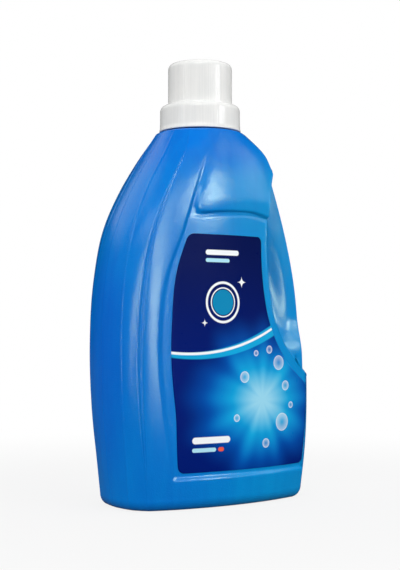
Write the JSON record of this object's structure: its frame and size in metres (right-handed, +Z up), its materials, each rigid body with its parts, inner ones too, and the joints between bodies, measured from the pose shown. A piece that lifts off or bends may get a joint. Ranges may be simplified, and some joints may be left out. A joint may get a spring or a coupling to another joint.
{
  "type": "dishwasher gel bottle",
  "caption": "Tall blow-moulded gel bottle with a pinch grip, recessed label panel, pouring insert and a two-tier screw cap.",
  "frame": {"origin": "middle of the flat ring that the bottle stands on", "axes": "+Z up along the neck, -Y out of the labelled front, +X towards the grip"},
  "size_m": [0.1387, 0.0692, 0.2652],
  "materials": {
    "bottle_hdpe": "satin blue with a fine grain",
    "label_film": "printed gloss film",
    "insert_pe": "natural translucent white",
    "seal_foam": "soft foam",
    "cap_pp": "gloss white"
  },
  "bodies": {
    "bottle": {"bottle": "bottle_hdpe", "front_label": "label_film", "pour_insert": "insert_pe"},
    "seal": {"cap_seal": "seal_foam"},
    "cap": {"cap": "cap_pp"}
  },
  "joints": [
    {"name": "cap_rise", "type": "slide", "parent": "bottle", "child": "seal", "axis": [0, 0, 1], "range_m": [0, 0.0063]},
    {"name": "cap_turn", "type": "hinge", "parent": "seal", "child": "cap", "pos_m": [-0.00125, 0, 0.23], "axis": [0, 0, 1], "range_deg": [0, 450]}
  ],
  "couplings": [
    {"joint": "cap_rise", "follows": "cap_turn", "m_per_rad": 0.00079577}
  ]
}
